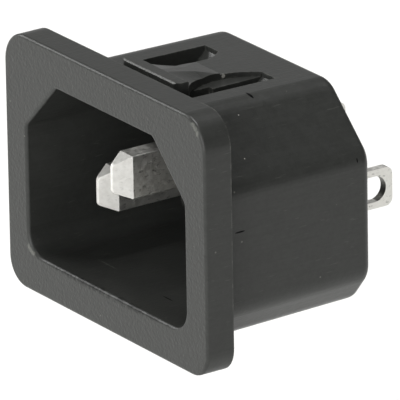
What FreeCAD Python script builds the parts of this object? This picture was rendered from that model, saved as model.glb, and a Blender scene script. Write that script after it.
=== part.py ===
import FreeCAD, Part
import math
import os
import re
import Sketcher

# C14 appliance inlet that snaps into a panel from the front: one moulded housing and three solder contacts.
# The rib below the block hooks behind the panel first, then the tongue above it snaps in.
# Frame: X to the right seen from the front, Y back into the equipment, Z up.
# Origin: centre of the flange's rear face, which lies on the panel.

SIZES = [
    ("cavity_width", 24.5, "socket, left to right"),
    ("cavity_height", 16.8, "socket, bottom to top"),
    ("cavity_depth", 16.4, "socket, from the front face to its floor"),
    ("cavity_bevel", 4.8, "each leg of the socket's upper corner bevels"),
    ("cavity_crown_radius", 0.5, "socket corners between top and bevel"),
    ("cavity_flank_radius", 0.9, "socket corners between bevel and side"),
    ("cavity_low_radius", 2.1, "lower corners of the socket"),
    ("cavity_lip_radius", 0.3, "rounding of the socket's mouth"),
    ("side_wall", 1.75, "wall of the block left and right of the socket"),
    ("top_wall", 1.7, "wall of the block above and below the socket"),
    ("rear_wall", 2.4, "wall behind the socket, which holds the contacts"),
    ("bevel_wall_across", 1.0, "how much wider the block's bevel is than the socket's"),
    ("bevel_wall_down", 0.75, "how much deeper the block's bevel is than the socket's"),
    ("block_draft", 0.8, "mould draft of the block's sides, in degrees"),
    ("crown_radius", 2.6, "blend from the top into each bevel"),
    ("flank_radius", 2.4, "blend from each bevel into the side"),
    ("low_bevel_across", 2.6, "block's lower corner bevel, along the bottom"),
    ("low_bevel_up", 3.2, "block's lower corner bevel, up the side"),
    ("low_radius", 2.5, "blends at both ends of the lower bevel"),
    ("rear_radius", 0.85, "rounding round the rear face"),
    ("flange_rim_side", 1.5, "flange beyond the block, left and right"),
    ("flange_rim_top", 1.9, "flange beyond the block, above and below"),
    ("flange_thick", 2.8, "face plate, front to back"),
    ("flange_top_radius", 3.05, "upper corners of the face plate"),
    ("flange_low_radius", 2.55, "lower corners of the face plate"),
    ("flange_edge_radius", 0.3, "rounding of the front edge"),
    ("blade_height", 4.0, "contact blade, across its width"),
    ("blade_thick", 2.0, "contact blade thickness"),
    ("blade_pitch", 14.0, "line blade to neutral blade"),
    ("earth_offset", 4.0, "earth blade above the other two"),
    ("contact_rise", 0.08, "midline of the contacts above the socket's middle"),
    ("phase_recess", 3.92, "line and neutral tips behind the front face"),
    ("earth_recess", 0.76, "earth tip behind the front face"),
    ("tip_length", 1.65, "tapered end of a blade"),
    ("tip_height", 2.55, "flat at the very end, across the blade"),
    ("tip_thick", 0.32, "flat at the very end, through the blade"),
    ("tip_corner_radius", 0.45, "corners of the blade's end, seen from the side"),
    ("blade_edge_radius", 0.12, "rounding of the blade's edges"),
    ("tab_height", 3.64, "solder tab, across its width"),
    ("tab_thick", 0.8, "solder tab thickness"),
    ("tab_reach", 6.85, "solder tab behind the rear face"),
    ("tab_corner_radius", 0.7, "corners of the tab's end"),
    ("hole_width", 2.4, "wire hole across the tab"),
    ("hole_length", 3.4, "wire hole along the tab"),
    ("hole_margin", 0.7, "metal left between the wire hole and the tab's end"),
    ("slot_clearance", 0.03, "play round a blade in the housing's rear wall"),
    ("window_width", 10.7, "opening round a snap tongue"),
    ("window_front", 0.5, "wall left between the flange and the opening"),
    ("window_rear", 11.8, "root of the tongue"),
    ("catch_gap", 2.1, "thickest panel that the catch grips"),
    ("catch_width", 8.6, "catch bar, left to right"),
    ("catch_length", 1.3, "catch bar, front to back"),
    ("catch_height", 1.1, "catch bar above the block"),
    ("catch_bevel", 0.12, "bevels along the bar's top"),
    ("catch_corner_radius", 0.6, "rounding of the bar's ends"),
    ("ramp_rear", 8.4, "where the tongue's ramp starts to rise"),
    ("ramp_height", 0.86, "ramp above the block where it meets the bar"),
    ("ridge_front_width", 0.8, "flat middle of the ramp at the bar"),
    ("ridge_waist_width", 1.4, "flat middle of the ramp halfway"),
    ("ridge_rear_width", 3.7, "flat middle of the ramp where it starts to rise"),
    ("ridge_waist", 6.4, "where the flat middle starts to widen towards the root"),
    ("hip_front_drop", 0.35, "fall of the ramp's sloped sides along the bar"),
    ("hip_waist_drop", 0.85, "fall of the ramp's sloped sides halfway"),
    ("root_width", 6.7, "tongue at its root"),
    ("waist_radius", 5.45, "hollow sides of the tongue"),
    ("ledge_drop", 0.6, "step in the tongue's sides below the block's top"),
    ("ledge_width", 5.4, "lower half of the tongue towards the catch"),
    ("ledge_root_width", 6.6, "lower half of the tongue towards its root"),
    ("ledge_step", 6.6, "where the lower half widens"),
    ("root_slope", 1.0, "sloped end wall of the side cuts"),
    ("rib_height", 0.7, "fixed rib below the block, which goes into the panel first"),
    ("rib_length", 3.6, "fixed rib, front to back, with the slope behind it"),
    ("overlap", 0.2, "how far one feature runs into the next"),
]

# Sizes that follow from the ones above: the block wraps the socket and the flange overhangs the block.
DERIVED = [
    ("block_width", "cavity_width + side_wall * 2", "block behind the flange, left to right"),
    ("block_height", "cavity_height + top_wall * 2", "block behind the flange, bottom to top"),
    ("block_depth", "cavity_depth - flange_thick + rear_wall", "block, from the panel to its rear face"),
    ("block_bevel_across", "cavity_bevel + bevel_wall_across", "block's upper corner bevel, along the top"),
    ("block_bevel_down", "cavity_bevel + bevel_wall_down", "block's upper corner bevel, down the side"),
    ("flange_width", "block_width + flange_rim_side * 2", "face plate, left to right"),
    ("flange_height", "block_height + flange_rim_top * 2", "face plate, bottom to top"),
    ("socket_floor", "cavity_depth - flange_thick", "socket's floor behind the panel"),
    ("tongue_root", "block_height / 2 - ledge_drop", "underside of the tongue's upper half"),
    ("catch_rear", "catch_gap + catch_length", "rear of the catch bar"),
    ("catch_crest", "block_height / 2 + catch_height", "top of the catch bar"),
    ("ramp_crest", "block_height / 2 + ramp_height", "top of the ramp where it meets the bar"),
    ("ramp_slope", "ramp_height / (ramp_rear - catch_rear)", "rise of the ramp for its length"),
    ("ramp_waist_level", "ramp_crest - ramp_slope * (ridge_waist - catch_rear)", "ramp where it is waisted"),
    ("tab_end", "block_depth + tab_reach", "rear end of the solder tabs"),
]

doc = FreeCAD.newDocument("panel_inlet")
sheet = doc.addObject("Spreadsheet::Sheet", "sizes")
for row, (name, amount, note) in enumerate(SIZES + DERIVED, start=1):
    sheet.set(f"A{row}", note)
    sheet.set(f"B{row}", f"={amount}" if isinstance(amount, str) else str(amount))
    sheet.setAlias(f"B{row}", name)
doc.recompute()
ALIASES = {name for name, amount, note in SIZES + DERIVED}


def formula(text):
    """The same formula with every size named as a cell of the sheet."""
    return re.sub(r"[a-z_]+", lambda word: f"sizes.{word[0]}" if word[0] in ALIASES else word[0], text)


def value(text):
    """What a formula gives now, as a plain number."""
    return float(sheet.evalExpression(formula(text)))


def sketch_on(body, name, role, offset="0"):
    """A sketch on one of the body's own planes, moved along the plane's normal."""
    sketch = body.newObject("Sketcher::SketchObject", name)
    support = next(item for item in body.Origin.OriginFeatures if item.Role == role)
    sketch.AttachmentSupport = [(support, "")]
    sketch.MapMode = "FlatFace"
    sketch.setExpression("AttachmentOffset.Base.z", formula(offset))
    return sketch


def pin_corner(sketch, edge, end, axis, text):
    """Ties one coordinate of a corner to a formula in the sheet."""
    if text == "0":
        sketch.addConstraint(Sketcher.Constraint("PointOnObject", edge, end, -2 if axis == "X" else -1))
        return
    number = sketch.addConstraint(Sketcher.Constraint(f"Distance{axis}", -1, 1, edge, end, value(text)))
    sketch.setExpression(f"Constraints[{number}]", formula(text))


def outline(sketch, corners, arcs=None):
    """A closed outline through corners given as pairs of formulas.

    arcs maps a corner's number to the radius of the curved side that leaves it.
    A leading minus bends the side to the right of its direction, none to the left.
    """
    arcs = arcs or {}
    points = [FreeCAD.Vector(value(across), value(up), 0) for across, up in corners]
    ends = []
    for number, start in enumerate(points):
        end = points[(number + 1) % len(points)]
        if number not in arcs:
            sketch.addGeometry(Part.LineSegment(start, end))
            ends.append((1, 2))
            continue
        bend = value(arcs[number])
        half = (end - start) * 0.5
        reach = math.sqrt(bend ** 2 - half.Length ** 2)
        centre = start + half + FreeCAD.Vector(half.y, -half.x, 0).normalize() * math.copysign(reach, bend)
        first, last = (end, start) if bend > 0 else (start, end)
        angles = [math.atan2(point.y - centre.y, point.x - centre.x) for point in (first, last)]
        circle = Part.Circle(centre, FreeCAD.Vector(0, 0, 1), abs(bend))
        sketch.addGeometry(Part.ArcOfCircle(circle, *angles))
        ends.append((2, 1) if bend > 0 else (1, 2))
    for number, (first, last) in enumerate(ends):
        following = (number + 1) % len(ends)
        sketch.addConstraint(Sketcher.Constraint("Coincident", number, last, following, ends[following][0]))
    for number, (across, up) in enumerate(corners):
        pin_corner(sketch, number, ends[number][0], "X", across)
        pin_corner(sketch, number, ends[number][0], "Y", up)
    for number, radius in arcs.items():
        text = radius.lstrip("-")
        constraint = sketch.addConstraint(Sketcher.Constraint("Radius", number, value(text)))
        sketch.setExpression(f"Constraints[{constraint}]", formula(text))


def box_corners(width, height):
    """Corners of a rectangle centred on the sketch's origin."""
    return [
        (f"-({width}) / 2", f"-({height}) / 2"),
        (f"({width}) / 2", f"-({height}) / 2"),
        (f"({width}) / 2", f"({height}) / 2"),
        (f"-({width}) / 2", f"({height}) / 2"),
    ]


def inlet_corners(width, height, bevel, low_bevel=None):
    """Corners of the inlet's own outline, on the right from the bottom up and back down on the left.

    bevel and low_bevel give what they cut off, across and up or down.
    Without low_bevel the lower corners are square.
    """
    across, down = bevel
    right = [(f"{width} / 2", f"-{height} / 2")]
    if low_bevel:
        low_across, low_up = low_bevel
        right = [
            (f"{width} / 2 - {low_across}", f"-{height} / 2"),
            (f"{width} / 2", f"-{height} / 2 + {low_up}"),
        ]
    right.append((f"{width} / 2", f"{height} / 2 - {down}"))
    right.append((f"{width} / 2 - {across}", f"{height} / 2"))
    return right + [(f"-({x})", z) for x, z in reversed(right)]


def extrude(body, kind, name, sketch, length=None, backward=False, symmetric=False):
    """A Pad or Pocket of a sketch: through everything where no length is given."""
    feature = body.newObject(f"PartDesign::{kind}", name)
    feature.Profile = sketch
    feature.Reversed = backward
    if symmetric:
        feature.SideType = "Symmetric"
    if length is None:
        feature.Type = "ThroughAll"
    else:
        feature.setExpression("Length", formula(length))
    doc.recompute()
    return feature


SAME_PLACE = 1e-4
SAME_CORNER = 0.01
SHORTEST_RUN = 1.0


def near(number, target, slack=SAME_PLACE):
    """Whether a coordinate lies where it should."""
    return abs(number - target) < slack


def round_edges(body, base, name, radius, wanted):
    """A fillet on every edge of the base feature that the test accepts."""
    edges = [f"Edge{i}" for i, edge in enumerate(base.Shape.Edges, start=1) if wanted(edge)]
    feature = body.newObject("PartDesign::Fillet", name)
    feature.Base = (base, edges)
    feature.setExpression("Radius", formula(radius))
    doc.recompute()
    return feature


def along_y(edge, x, z):
    """Whether an edge leaves the corner at x, z and runs front to back."""
    ends = sorted((vertex.Point for vertex in edge.Vertexes), key=lambda point: point.y)
    if len(ends) < 2 or ends[1].y - ends[0].y < SHORTEST_RUN:
        return False
    return near(abs(ends[0].x), x, SAME_CORNER) and near(ends[0].z, z, SAME_CORNER)


def across_end(edge, reach, end):
    """Whether an edge runs left to right at an end of the strip: reach is its place, end a formula."""
    return near(reach, value(end)) and near(edge.BoundBox.ZMin, edge.BoundBox.ZMax)


def round_outline(body, base, name, corners, radii):
    """Rounds the front-to-back edges that leave the right-hand corners, and their mirror images."""
    for number, ((across, up), radius) in enumerate(zip(corners, radii), start=1):
        x, z = value(across), value(up)
        base = round_edges(body, base, f"{name}_blend_{number}", radius, lambda edge: along_y(edge, x, z))
    return base


# Housing: one black moulding with the face plate, the socket, the block and two snap tongues.
housing = doc.addObject("PartDesign::Body", "housing")
housing.Label = "housing"

plate_sketch = sketch_on(housing, "plate_outline", "XZ_Plane")
outline(plate_sketch, box_corners("flange_width", "flange_height"))
plate = extrude(housing, "Pad", "plate", plate_sketch, "flange_thick")
for part, radius, level in (("top", "flange_top_radius", 1), ("low", "flange_low_radius", -1)):
    corner_z = level * value("flange_height / 2")
    plate = round_edges(
        housing,
        plate,
        f"plate_{part}_corners",
        radius,
        lambda edge: along_y(edge, value("flange_width / 2"), corner_z),
    )
plate = round_edges(
    housing,
    plate,
    "plate_front_edge",
    "flange_edge_radius",
    lambda edge: all(near(vertex.Y, -value("flange_thick")) for vertex in edge.Vertexes),
)

block_corners = inlet_corners(
    "block_width",
    "block_height",
    ("block_bevel_across", "block_bevel_down"),
    ("low_bevel_across", "low_bevel_up"),
)
block_sketch = sketch_on(housing, "block_outline", "XZ_Plane")
outline(block_sketch, block_corners)
block = extrude(housing, "Pad", "block", block_sketch, "block_depth", backward=True)
block.setExpression("TaperAngle", formula("-block_draft"))
doc.recompute()
block = round_outline(
    housing, block, "block", block_corners, ("low_radius", "low_radius", "flank_radius", "crown_radius")
)
block = round_edges(
    housing,
    block,
    "block_rear_edge",
    "rear_radius",
    lambda edge: all(near(vertex.Y, value("block_depth")) for vertex in edge.Vertexes),
)

cavity_corners = inlet_corners("cavity_width", "cavity_height", ("cavity_bevel", "cavity_bevel"))
cavity_sketch = sketch_on(housing, "cavity_outline", "XZ_Plane", "flange_thick")
outline(cavity_sketch, cavity_corners)
cavity = extrude(housing, "Pocket", "cavity", cavity_sketch, "cavity_depth")
cavity = round_outline(
    housing,
    cavity,
    "cavity",
    cavity_corners,
    ("cavity_low_radius", "cavity_flank_radius", "cavity_crown_radius"),
)


def at_mouth(edge):
    """Whether an edge belongs to the socket's mouth in the front face."""
    box = edge.BoundBox
    inside = max(abs(box.XMin), abs(box.XMax)) < value("cavity_width / 2 + overlap")
    level = -value("flange_thick")
    return inside and all(near(vertex.Y, level) for vertex in edge.Vertexes)


cavity = round_edges(housing, cavity, "cavity_lip", "cavity_lip_radius", at_mouth)

# Each blade stands in a slot of the rear wall. name: place across, place up, recess of its tip.
CONTACTS = {
    "line_contact": ("-blade_pitch / 2", "contact_rise - earth_offset / 2", "phase_recess"),
    "neutral_contact": ("blade_pitch / 2", "contact_rise - earth_offset / 2", "phase_recess"),
    "earth_contact": ("0", "contact_rise + earth_offset / 2", "earth_recess"),
}
for name, (across, up, recess) in CONTACTS.items():
    slot_sketch = sketch_on(housing, f"{name}_slot_outline", "XZ_Plane", "-socket_floor")
    half_thick = "(blade_thick / 2 + slot_clearance)"
    half_height = "(blade_height / 2 + slot_clearance)"
    outline(
        slot_sketch,
        [
            (f"{across} - {half_thick}", f"{up} - {half_height}"),
            (f"{across} + {half_thick}", f"{up} - {half_height}"),
            (f"{across} + {half_thick}", f"{up} + {half_height}"),
            (f"{across} - {half_thick}", f"{up} + {half_height}"),
        ],
    )
    extrude(housing, "Pocket", f"{name}_slot", slot_sketch)


# Snap tongue: cut free of the top wall on both sides, hollow-waisted, with a ramp up to the catch bar.
# The ramp is crowned: a flat middle that narrows towards the bar, and a sloped side either way.
catch_sketch = sketch_on(housing, "catch_profile", "YZ_Plane")
outline(
    catch_sketch,
    [
        ("catch_gap", "tongue_root"),
        ("ramp_rear", "tongue_root"),
        ("ramp_rear", "block_height / 2"),
        ("catch_rear", "ramp_crest"),
        ("catch_rear", "catch_crest - catch_bevel"),
        ("catch_rear - catch_bevel", "catch_crest"),
        ("catch_gap + catch_bevel", "catch_crest"),
        ("catch_gap", "catch_crest - catch_bevel"),
    ],
)
extrude(housing, "Pad", "catch", catch_sketch, "catch_width", symmetric=True)


# Flat middle of the ramp from front to rear: its place, its width, its level, and the sides' lowest level.
RIDGE = [
    ("catch_rear", "ridge_front_width", "ramp_crest", "ramp_crest - hip_front_drop"),
    ("ridge_waist", "ridge_waist_width", "ramp_waist_level", "ramp_waist_level - hip_waist_drop"),
    ("ramp_rear", "ridge_rear_width", "block_height / 2", "block_height / 2"),
]
for hand, sign in (("left", -1), ("right", 1)):
    sections = []
    for place, ridge_width, ridge_level, side_level in RIDGE:
        section = sketch_on(housing, f"{hand}_hip_at_{place}", "XZ_Plane", f"-{place}")
        outline(
            section,
            [
                (f"{sign} * {ridge_width} / 2", ridge_level),
                (f"{sign} * (catch_width / 2 + overlap)", side_level),
                (f"{sign} * (catch_width / 2 + overlap)", "catch_crest + overlap"),
                (f"{sign} * {ridge_width} / 2", "catch_crest + overlap"),
            ],
        )
        sections.append(section)
    hip = housing.newObject("PartDesign::SubtractiveLoft", f"{hand}_hip")
    hip.Profile = sections[0]
    hip.Sections = sections[1:]
    hip.Ruled = True
    doc.recompute()

front_slot_sketch = sketch_on(housing, "front_slot_outline", "XY_Plane", "cavity_height / 2 - overlap")
outline(
    front_slot_sketch,
    [
        ("-window_width / 2", "window_front"),
        ("window_width / 2", "window_front"),
        ("window_width / 2", "catch_gap"),
        ("-window_width / 2", "catch_gap"),
    ],
)
extrude(housing, "Pocket", "front_slot", front_slot_sketch, backward=True)

for hand, sign in (("left", -1), ("right", 1)):
    cut_sketch = sketch_on(housing, f"{hand}_cut_outline", "XY_Plane", "tongue_root")
    outline(
        cut_sketch,
        [
            (f"{sign} * (catch_width / 2 - catch_corner_radius)", "window_front"),
            (f"{sign} * window_width / 2", "window_front"),
            (f"{sign} * window_width / 2", "window_rear"),
            (f"{sign} * root_width / 2", "window_rear"),
            (f"{sign} * catch_width / 2", "catch_rear"),
            (f"{sign} * catch_width / 2", "catch_gap + catch_corner_radius"),
            (f"{sign} * (catch_width / 2 - catch_corner_radius)", "catch_gap"),
        ],
        {
            3: "-waist_radius" if sign > 0 else "waist_radius",
            5: "catch_corner_radius" if sign > 0 else "-catch_corner_radius",
        },
    )
    extrude(housing, "Pocket", f"{hand}_cut", cut_sketch, backward=True)

    ledge_sketch = sketch_on(housing, f"{hand}_ledge_outline", "XY_Plane", "cavity_height / 2 - overlap")
    outline(
        ledge_sketch,
        [
            (f"{sign} * catch_width / 2", "window_front"),
            (f"{sign} * window_width / 2", "window_front"),
            (f"{sign} * window_width / 2", "window_rear"),
            (f"{sign} * ledge_root_width / 2", "window_rear"),
            (f"{sign} * ledge_root_width / 2", "ledge_step"),
            (f"{sign} * ledge_width / 2", "ledge_step"),
            (f"{sign} * ledge_width / 2", "catch_rear"),
            (f"{sign} * catch_width / 2", "catch_rear"),
        ],
    )
    ledge_reach = "top_wall - ledge_drop + overlap * 2"
    extrude(housing, "Pocket", f"{hand}_ledge", ledge_sketch, ledge_reach, backward=True)

slope_sketch = sketch_on(housing, "root_slope_profile", "YZ_Plane")
outline(
    slope_sketch,
    [
        ("window_rear - root_slope", "tongue_root - root_slope"),
        ("window_rear + overlap", "tongue_root - root_slope"),
        ("window_rear + overlap", "tongue_root"),
        ("window_rear", "tongue_root"),
    ],
)
extrude(housing, "Pad", "root_slope", slope_sketch, "window_width", symmetric=True)

# Fixed rib below the block, steep against the panel and sloped behind.
rib_sketch = sketch_on(housing, "rib_profile", "YZ_Plane")
outline(
    rib_sketch,
    [
        ("catch_gap", "-(block_height / 2 - overlap)"),
        ("catch_gap", "-(block_height / 2 + rib_height)"),
        ("catch_rear", "-(block_height / 2 + rib_height)"),
        ("catch_gap + rib_length", "-(block_height / 2 - overlap)"),
    ],
)
extrude(housing, "Pad", "rib", rib_sketch, "catch_width", symmetric=True)


# Contacts: a tinned brass strip each, thick blade in front, thin solder tab behind.
# Each contact's own origin lies on its blade's axis, level with the panel.
for name, (across, up, recess) in CONTACTS.items():
    contact = doc.addObject("PartDesign::Body", name)
    contact.Label = name
    contact.setExpression("Placement.Base.x", formula(across))
    contact.setExpression("Placement.Base.z", formula(up))
    tip = f"({recess} - flange_thick)"
    shank = f"({recess} - flange_thick + tip_length)"

    blade_sketch = sketch_on(contact, f"{name}_blade_profile", "YZ_Plane")
    outline(
        blade_sketch,
        [
            (tip, "-tip_height / 2"),
            (shank, "-blade_height / 2"),
            ("block_depth", "-blade_height / 2"),
            ("block_depth", "blade_height / 2"),
            (shank, "blade_height / 2"),
            (tip, "tip_height / 2"),
        ],
    )
    blade = extrude(contact, "Pad", f"{name}_blade", blade_sketch, "blade_thick", symmetric=True)
    blade = round_edges(
        contact,
        blade,
        f"{name}_tip_corners",
        "tip_corner_radius",
        lambda edge: across_end(edge, edge.BoundBox.YMax, tip),
    )
    for hand, sign in (("left", -1), ("right", 1)):
        taper_sketch = sketch_on(contact, f"{name}_{hand}_taper_outline", "XY_Plane")
        outline(
            taper_sketch,
            [
                (f"{sign} * tip_thick / 2", tip),
                (f"{sign} * blade_thick / 2", shank),
                (f"{sign} * (blade_thick / 2 + overlap)", shank),
                (f"{sign} * (blade_thick / 2 + overlap)", f"{tip} - overlap"),
                (f"{sign} * tip_thick / 2", f"{tip} - overlap"),
            ],
        )
        taper_name = f"{name}_{hand}_taper"
        blade = extrude(contact, "Pocket", taper_name, taper_sketch, "blade_height", symmetric=True)
    round_edges(
        contact,
        blade,
        f"{name}_blade_edges",
        "blade_edge_radius",
        lambda edge: not near(edge.BoundBox.YMin, value("block_depth")),
    )

    tab_sketch = sketch_on(contact, f"{name}_tab_outline", "YZ_Plane")
    outline(
        tab_sketch,
        [
            ("block_depth - overlap", "-tab_height / 2"),
            ("tab_end", "-tab_height / 2"),
            ("tab_end", "tab_height / 2"),
            ("block_depth - overlap", "tab_height / 2"),
        ],
    )
    tab = extrude(contact, "Pad", f"{name}_tab", tab_sketch, "tab_thick", symmetric=True)
    round_edges(
        contact,
        tab,
        f"{name}_tab_corners",
        "tab_corner_radius",
        lambda edge: across_end(edge, edge.BoundBox.YMin, "tab_end"),
    )

    hole_sketch = sketch_on(contact, f"{name}_hole_outline", "YZ_Plane")
    hole_rear = "(tab_end - hole_margin)"
    hole_front = f"({hole_rear} - hole_length)"
    outline(
        hole_sketch,
        [
            (f"{hole_front} + hole_width / 2", "-hole_width / 2"),
            (f"{hole_rear} - hole_width / 2", "-hole_width / 2"),
            (hole_rear, "0"),
            (f"{hole_rear} - hole_width / 2", "hole_width / 2"),
            (f"{hole_front} + hole_width / 2", "hole_width / 2"),
            (hole_front, "0"),
        ],
        {number: "-hole_width / 2" for number in (1, 2, 4, 5)},
    )
    extrude(contact, "Pocket", f"{name}_hole", hole_sketch, "blade_thick", symmetric=True)

doc.recompute()
for item in doc.Objects:
    assert not {"Invalid", "Error"} & set(item.State), f"{item.Name} failed: {item.State}"
os.makedirs("parts", exist_ok=True)
for body in doc.findObjects("PartDesign::Body"):
    shape = body.Shape
    assert not shape.isNull() and shape.isValid(), f"{body.Label} has no sound shape"
    assert len(shape.Solids) == 1, f"{body.Label} is not one solid"
for body in doc.findObjects("PartDesign::Body"):
    body.Shape.exportStep(f"parts/{body.Label}.step")
    print(body.Label, body.Shape.optimalBoundingBox(), f"{body.Shape.Volume:.2f} mm3")
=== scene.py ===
import math

import bpy
from mathutils import Matrix, Vector


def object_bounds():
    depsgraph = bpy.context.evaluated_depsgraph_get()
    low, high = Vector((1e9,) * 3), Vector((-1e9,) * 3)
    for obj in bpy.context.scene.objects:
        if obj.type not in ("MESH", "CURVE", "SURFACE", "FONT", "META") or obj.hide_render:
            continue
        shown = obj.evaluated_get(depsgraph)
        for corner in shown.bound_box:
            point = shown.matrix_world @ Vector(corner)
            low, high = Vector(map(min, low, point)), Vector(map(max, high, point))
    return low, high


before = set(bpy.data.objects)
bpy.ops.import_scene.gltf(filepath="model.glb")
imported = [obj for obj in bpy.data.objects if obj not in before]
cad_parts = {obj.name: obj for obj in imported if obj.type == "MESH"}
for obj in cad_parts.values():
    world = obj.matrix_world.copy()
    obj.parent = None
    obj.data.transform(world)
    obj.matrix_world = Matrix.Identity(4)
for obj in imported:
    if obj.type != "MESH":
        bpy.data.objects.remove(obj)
cad_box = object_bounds()


# Housing: one black moulding, face plate, socket, block, rib and snap tongue together.
# Glass-filled nylon from a spark-eroded mould: charcoal black and finely matt, faintly streaked where
# it was drawn from the mould, paler along its sharp edges, with a few nicks and dust specks.
MM = 0.001
FACE = cad_box[0][1] / MM  # the face plate's front, in millimetres like the tables of marks below
NYLON_DARK = "#2e2f2d"
NYLON_PALE = "#333432"
SCUFF_TONE = "#62635e"
WORN_TONE = "#5e5f5a"
RUB_AND_HIGHLIGHT_TONE = "#5a5b56"
NICK_TONE = "#060606"
SPECK_TONE = "#a9a8a1"
DUST_TONE = "#a5a49c"
MOTTLE = 0.9 * MM  # patches left by the melt's flow
GRAIN = 0.32 * MM  # eroded grain, coarser than the real one so that it shows
STREAK = 0.22 * MM  # drawing lines, also coarser than the real ones, and many times as long
STREAK_STRETCH = (1.0, 25.0, 1.0)
SCUFF = 0.16 * MM
SCUFF_STRETCH = (1.0, 9.0, 1.0)
LIP_MARK = 0.55 * MM  # marks scraped below the mouth
EDGE_WEAR = 0.24 * MM
DUST_CELL = 2.4 * MM
DUST_RADIUS = 0.11 * MM
GRAIN_DEPTH = 0.04 * MM
STREAK_SHARE = 0.8  # how deep the streaks are beside the grain
SCRAPE_STRENGTH = 0.45
DUST_STRENGTH = 0.25
# Each row says how a mark follows a pattern: the pattern's levels where it starts to change and
# where it is done, then its strength before and after.
ENDWAYS = (0.5, 0.9, 0.0, 1.0)
UNEVEN = (1.1, 1.9, 0.0, 1.0)
SCUFFED = (0.66, 0.76, 0.0, 0.25)
WORN_GRAIN = (0.32, 0.62, 0.15, 0.9)
WORN_PATCHES = (0.40, 0.60, 0.2, 1.0)
RAGGED = (0.30, 0.55, 0.3, 1.0)
BROKEN = (0.40, 0.58, 0.0, 1.0)
RELIEF = (0.0, 1.0, 0.3, 1.0)  # weaker on the walls that slid along the mould
REFLECTION = (0.0, 1.0, 0.35, 0.05)  # none to speak of inside the nicks
ROUGHNESS = (0.25, 0.75, 0.34, 0.38)
INVERSE = (1.0, 0.0, 0.0, 1.0)
RUBS_AND_HIGHLIGHTS = [
    # centre and reach: painted highlights on the mouth's lower left corner and on the face plate's upper
    # right corner, and one scratch rubbed pale on the socket's floor
    ((-12.22, FACE, -7.80), (0.26, 0.40, 0.34)),
    ((-11.95, FACE, -8.05), (0.32, 0.40, 0.30)),
    ((-11.60, FACE, -8.25), (0.36, 0.40, 0.26)),
    ((-5.60, 1.13, -8.40), (1.90, 0.07, 0.30)),
    ((13.80, FACE, 11.35), (0.35, 0.25, 0.25)),
    ((14.15, FACE, 11.08), (0.32, 0.25, 0.30)),
    ((14.47, FACE, 10.72), (0.22, 0.25, 0.36)),
]
NICKS = [
    # centre and reach: on the crown, beside the flange, near the bevel's rear edge, in the socket
    ((7.55, 7.57, 9.96), (0.75, 0.18, 0.40)),
    ((13.98, 1.86, 0.49), (0.30, 0.65, 0.10)),
    ((13.67, 14.57, 4.10), (0.16, 0.07, 0.30)),
    ((4.40, 0.70, -8.40), (0.90, 0.09, 0.30)),
]
SCRAPED_LIP = ((0.0, -2.7, -8.6), (11.2, 0.6, 0.42))  # centre and reach, along the mouth's lower lip
SPECKS = [
    # centre and radius: on the tongue, high on the bevel and low on the bevel
    ((1.80, 8.74, 9.80), 0.22),
    ((9.15, 5.24, 9.09), 0.07),
    ((12.12, 3.75, 6.28), 0.07),
]


def linear(code):
    """A colour written as an sRGB hex code, in the linear values that shaders use."""
    parts = [int(code[i:i + 2], 16) / 255 for i in (1, 3, 5)]
    return [c / 12.92 if c <= 0.04045 else ((c + 0.055) / 1.055) ** 2.4 for c in parts] + [1.0]


def add(tree, kind, inputs=(), **settings):
    """Adds a shader node, sets its properties, and sets or links its inputs.

    The inputs are a list in the node's own order or a dictionary by name. A node among them
    stands for the first of its outputs in use.
    """
    made = tree.nodes.new("ShaderNode" + kind)
    for name, setting in settings.items():
        setattr(made, name, setting)
    sources = inputs.items() if isinstance(inputs, dict) else enumerate(inputs)
    for name, source in sources:
        if isinstance(source, bpy.types.Node):
            source = next(output for output in source.outputs if output.enabled)
        if isinstance(source, bpy.types.NodeSocket):
            tree.links.new(source, made.inputs[name])
        else:
            made.inputs[name].default_value = source
    return made


def new_material(name):
    """An empty node material."""
    material = bpy.data.materials.new(name)
    material.use_nodes = True
    material.node_tree.nodes.clear()
    return material, material.node_tree


SMOOTH = {"interpolation_type": "SMOOTHSTEP"}  # every range eases in and out
CLOUD_DETAIL = 2.5
SPOT_EDGE = (1.0, 0.6, 0.0, 1.0)  # shares of a spot's reach
EDGE_SAMPLES = 4
EDGE_BEND = (0.995, 0.90, 0.0, 1.0)  # cosines of the turn at an edge
DUST_CORE = 0.5  # share of a dust speck's radius that is at full strength


def facing(tree, levels):
    """How far the surface faces the front or the rear, along the object's length."""
    normal = add(tree, "NewGeometry").outputs["Normal"]
    along = add(tree, "SeparateXYZ", [normal]).outputs["Y"]
    turned = add(tree, "Math", [along], operation="ABSOLUTE")
    return add(tree, "MapRange", [turned, *levels], **SMOOTH)


def cloud(tree, place, size, stretch=(1.0, 1.0, 1.0)):
    """Soft random blobs about size metres wide, drawn out along the axes by stretch."""
    scale = [1.0 / (size * longer) for longer in stretch]
    spread = add(tree, "Mapping", {"Vector": place, "Scale": scale})
    return add(tree, "TexNoise", {"Vector": spread, "Scale": 1.0, "Detail": CLOUD_DETAIL})


def spot(tree, place, centre, reach):
    """One inside an ellipsoid given in millimetres, fading out at its skin."""
    centre = [length * MM for length in centre]
    reach = [length * MM for length in reach]
    ellipsoid = {"Vector": place, "Location": centre, "Scale": reach}
    local = add(tree, "Mapping", ellipsoid, vector_type="TEXTURE")
    far = add(tree, "VectorMath", [local], operation="LENGTH")
    return add(tree, "MapRange", [far, *SPOT_EDGE], **SMOOTH)


def spots(tree, place, table):
    """One inside any of a table's ellipsoids."""
    marked = 0.0
    for centre, reach in table:
        marked = add(tree, "Math", [marked, spot(tree, place, centre, reach)], operation="MAXIMUM")
    return marked


def worn_edge(tree, radius):
    """One along edges sharper than the radius, nought on the faces between them."""
    rounded = add(tree, "Bevel", {"Radius": radius}, samples=EDGE_SAMPLES)
    flat = add(tree, "NewGeometry").outputs["Normal"]
    agree = add(tree, "VectorMath", [rounded, flat], operation="DOT_PRODUCT")
    return add(tree, "MapRange", [agree, *EDGE_BEND], **SMOOTH)


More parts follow.
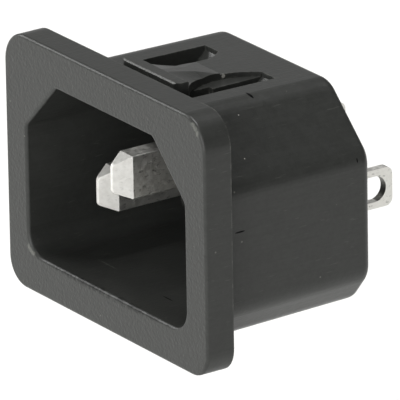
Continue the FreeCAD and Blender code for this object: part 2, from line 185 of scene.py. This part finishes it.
def dust(tree, place, cell, radius):
    """One in small specks strewn at random, one to each cube of side cell."""
    scatter = add(tree, "TexVoronoi", {"Vector": place, "Scale": 1.0 / cell})
    return add(tree, "MapRange", [scatter, radius / cell, DUST_CORE * radius / cell], **SMOOTH)


def paint(tree, tone, layers):
    """A tone with others laid over it in turn, each as strongly as its amount says."""
    for amount, code in layers:
        tone = add(tree, "Mix", {"Factor": amount, "A": tone, "B": linear(code)}, data_type="RGBA")
    return tone


def dress(names, material):
    """Gives CAD nodes a material."""
    for name in names:
        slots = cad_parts[name].data.materials
        slots.clear()
        slots.append(material)


plastic, tree = new_material("black_plastic")
place = add(tree, "TexCoord").outputs["Object"]
face_on = facing(tree, ENDWAYS)
drawn = add(tree, "MapRange", [face_on, *INVERSE], **SMOOTH)
mottle = cloud(tree, place, MOTTLE)
grain = cloud(tree, place, GRAIN)
streak = cloud(tree, place, STREAK, STREAK_STRETCH)

uneven = add(tree, "Math", [mottle, grain], operation="ADD")
uneven = add(tree, "Math", [uneven, streak], operation="ADD")
uneven = add(tree, "MapRange", [uneven, *UNEVEN], **SMOOTH)

scuffed = cloud(tree, place, SCUFF, SCUFF_STRETCH)
scuffed = add(tree, "MapRange", [scuffed, *SCUFFED], **SMOOTH)
scuffed = add(tree, "Math", [scuffed, drawn], operation="MULTIPLY")

speckled = add(tree, "MapRange", [grain, *WORN_GRAIN], **SMOOTH)
patchy = add(tree, "MapRange", [mottle, *WORN_PATCHES], **SMOOTH)
patchy = add(tree, "Math", [speckled, patchy], operation="MULTIPLY")
worn = add(tree, "Math", [worn_edge(tree, EDGE_WEAR), patchy], operation="MULTIPLY")

ragged = add(tree, "MapRange", [grain, *RAGGED], **SMOOTH)
# Painted highlights on the mouth's lower left corner and the face plate's upper right corner, and one pale
# scratch on the socket's floor, all broken up by the grain
rubbed_and_highlit = add(tree, "Math", [spots(tree, place, RUBS_AND_HIGHLIGHTS), ragged], operation="MULTIPLY")

broken = add(tree, "MapRange", [cloud(tree, place, LIP_MARK), *BROKEN], **SMOOTH)
scraped = add(tree, "Math", [spot(tree, place, *SCRAPED_LIP), broken], operation="MULTIPLY")
scraped = add(tree, "Math", [scraped, SCRAPE_STRENGTH], operation="MULTIPLY")
nicked = add(tree, "Math", [spots(tree, place, NICKS), scraped], operation="MAXIMUM")

specks = dust(tree, place, DUST_CELL, DUST_RADIUS)
specks = add(tree, "Math", [specks, DUST_STRENGTH], operation="MULTIPLY")

layers = [(scuffed, SCUFF_TONE), (worn, WORN_TONE), (rubbed_and_highlit, RUB_AND_HIGHLIGHT_TONE), (nicked, NICK_TONE)]
layers += [(spot(tree, place, centre, [radius] * 3), SPECK_TONE) for centre, radius in SPECKS]
layers += [(specks, DUST_TONE)]
nylon = add(
    tree, "Mix", {"Factor": uneven, "A": linear(NYLON_DARK), "B": linear(NYLON_PALE)}, data_type="RGBA"
)

lines = add(tree, "Math", [streak, STREAK_SHARE], operation="MULTIPLY")
relief = add(tree, "Math", [grain, lines], operation="ADD")
roughened = add(tree, "MapRange", [face_on, *RELIEF], **SMOOTH)
bump = add(tree, "Bump", {"Height": relief, "Distance": GRAIN_DEPTH, "Strength": roughened})
finish = {
    "Base Color": paint(tree, nylon, layers),
    "Roughness": add(tree, "MapRange", [mottle, *ROUGHNESS], **SMOOTH),
    "Specular IOR Level": add(tree, "MapRange", [nicked, *REFLECTION], **SMOOTH),
    "Normal": bump,
}
add(tree, "OutputMaterial", {"Surface": add(tree, "BsdfPrincipled", finish)})
dress(["housing"], plastic)


# Contacts: stamped brass strip with a thin tin plating.
# Pale satin metal: frosted and bright on the coined tips, with fine dark die marks along the rolled
# flats, and dark where the solder tabs were sheared off and pierced.
TIN_DULL = "#cfcdc7"
TIN_BRIGHT = "#f4f3ef"
DIE_TONE = "#55534c"
SHEARED_TONE = "#4c4a45"
PLATING = 0.5 * MM  # clouds in the plating
DIE_MARK = 0.26 * MM  # coarser than real die marks so that they show
DIE_STRETCH = (1.0, 2.0, 1.0)
DIE_DEPTH = 0.012 * MM
DIE_RELIEF = 0.6
SHEARED_STRENGTH = 0.85
BLADE_END = 8.0 * MM  # no face between these two depths faces the front or the rear
TAB_START = 12.0 * MM
# Rows that say how a mark follows a pattern, as for the housing.
TURNED = (0.15, 0.30, 0.0, 1.0)
BLADE = (TAB_START, BLADE_END, 0.0, 1.0)
TAB = (BLADE_END, TAB_START, 0.0, 1.0)
DIE_MARKED = (0.56, 0.76, 0.0, 0.6)
ROLLED = (1.0, 0.0, 0.3, 1.0)  # fainter marks on the coined tips
METALLIC = (1.0, 0.0, 0.2, 1.0)  # the frosted tips scatter light like paint
SATIN = (0.3, 0.7, 0.40, 0.52)

metal, tree = new_material("tinned_brass")
place = add(tree, "TexCoord").outputs["Object"]
depth = add(tree, "SeparateXYZ", [place]).outputs["Y"]
turned = facing(tree, TURNED)
coined = add(tree, "MapRange", [depth, *BLADE], **SMOOTH)
coined = add(tree, "Math", [turned, coined], operation="MULTIPLY")
sheared = add(tree, "MapRange", [depth, *TAB], **SMOOTH)
sheared = add(tree, "Math", [turned, sheared], operation="MULTIPLY")
sheared = add(tree, "Math", [sheared, SHEARED_STRENGTH], operation="MULTIPLY")

mottle = cloud(tree, place, PLATING)
tin = add(tree, "Mix", {"Factor": mottle, "A": linear(TIN_DULL), "B": linear(TIN_BRIGHT)}, data_type="RGBA")
scores = cloud(tree, place, DIE_MARK, DIE_STRETCH)
die_marks = add(tree, "MapRange", [scores, *DIE_MARKED], **SMOOTH)
flats = add(tree, "MapRange", [coined, *ROLLED], **SMOOTH)
die_marks = add(tree, "Math", [die_marks, flats], operation="MULTIPLY")
bump = add(tree, "Bump", {"Height": scores, "Distance": DIE_DEPTH, "Strength": DIE_RELIEF})
finish = {
    "Base Color": paint(tree, tin, [(die_marks, DIE_TONE), (sheared, SHEARED_TONE)]),
    "Metallic": add(tree, "MapRange", [coined, *METALLIC], **SMOOTH),
    "Roughness": add(tree, "MapRange", [mottle, *SATIN], **SMOOTH),
    "Normal": bump,
}
add(tree, "OutputMaterial", {"Surface": add(tree, "BsdfPrincipled", finish)})
dress(["line_contact", "neutral_contact", "earth_contact"], metal)


# Studio: a plain pale floor a little below the object.
# Broad soft lamps stand left, in front, right and above, and a weak one low behind.
FLOOR_REACH = 3.0
FLOOR_DROP = 0.02
PAPER_TONE = "#fafaf8"
PAPER_ROUGHNESS = 0.9
floor_level = cad_box[0][2] - FLOOR_DROP
corners = [
    (x * FLOOR_REACH, y * FLOOR_REACH, floor_level) for x, y in [(-1, -1), (1, -1), (1, 1), (-1, 1)]
]
floor_mesh = bpy.data.meshes.new("floor")
floor_mesh.from_pydata(corners, [], [(0, 1, 2, 3)])
floor = bpy.data.objects.new("floor", floor_mesh)
bpy.context.collection.objects.link(floor)
paper, tree = new_material("pale_paper")
finish = {"Base Color": linear(PAPER_TONE), "Roughness": PAPER_ROUGHNESS}
add(tree, "OutputMaterial", {"Surface": add(tree, "BsdfPrincipled", finish)})
floor_mesh.materials.append(paper)

SKY_TONE = "#ffffff"
SKY_STRENGTH = 0.144
world = bpy.data.worlds.new("studio")
world.use_nodes = True
sky = world.node_tree.nodes["Background"].inputs
sky["Color"].default_value = linear(SKY_TONE)
sky["Strength"].default_value = SKY_STRENGTH
bpy.context.scene.world = world

LIGHTS = [
    # name, direction from the object, distance and size in metres, power in watts
    ("left_light", (-0.80, -0.35, 0.45), 0.9, 0.5, 3.44),
    ("front_light", (0.15, -0.95, 0.28), 0.9, 0.9, 4.1),
    ("right_light", (0.60, -0.78, 0.20), 0.9, 0.9, 4.3),
    ("overhead_light", (-0.10, 0.10, 1.00), 0.9, 0.5, 5.84),
    ("rear_light", (-0.77, 0.60, 0.12), 0.9, 0.5, 0.24),
]
for name, direction, distance, size, power in LIGHTS:
    lamp = bpy.data.lights.new(name, "AREA")
    lamp.shape = "DISK"
    lamp.size = size
    lamp.energy = power
    aim = Vector(direction).normalized()
    aimed = aim.to_track_quat("Z", "Y").to_matrix().to_4x4()
    holder = bpy.data.objects.new(name, lamp)
    holder.matrix_world = Matrix.Translation(aim * distance) @ aimed
    bpy.context.collection.objects.link(holder)

# The camera stands to the right of the object and above it, far back with a long lens.
AZIMUTH = math.radians(55.574)
ELEVATION = math.radians(20.782)
ROLL = math.radians(-0.976)
DISTANCE = 766.546 * MM
ASIDE = 6.026 * MM
ABOVE = -0.434 * MM
LENS = 788.43  # millimetres, as is the sensor's width
SENSOR_WIDTH = 36.0
NEAREST = 0.05
FARTHEST = 20.0
back = Vector((
    math.sin(AZIMUTH) * math.cos(ELEVATION),
    -math.cos(AZIMUTH) * math.cos(ELEVATION),
    math.sin(ELEVATION),
))
right = Vector((math.cos(AZIMUTH), math.sin(AZIMUTH), 0.0))
up = back.cross(right)
turned_right = right * math.cos(ROLL) + up * math.sin(ROLL)
turned_up = up * math.cos(ROLL) - right * math.sin(ROLL)
camera_data = bpy.data.cameras.new("camera")
camera_data.sensor_width = SENSOR_WIDTH
camera_data.lens = LENS
camera_data.clip_start = NEAREST
camera_data.clip_end = FARTHEST
camera = bpy.data.objects.new("camera", camera_data)
turn = Matrix((turned_right, turned_up, back)).transposed().to_4x4()
camera.matrix_world = Matrix.Translation(back * DISTANCE + right * ASIDE + up * ABOVE) @ turn
bpy.context.collection.objects.link(camera)
bpy.context.scene.camera = camera
bpy.context.scene.view_settings.view_transform = "Standard"
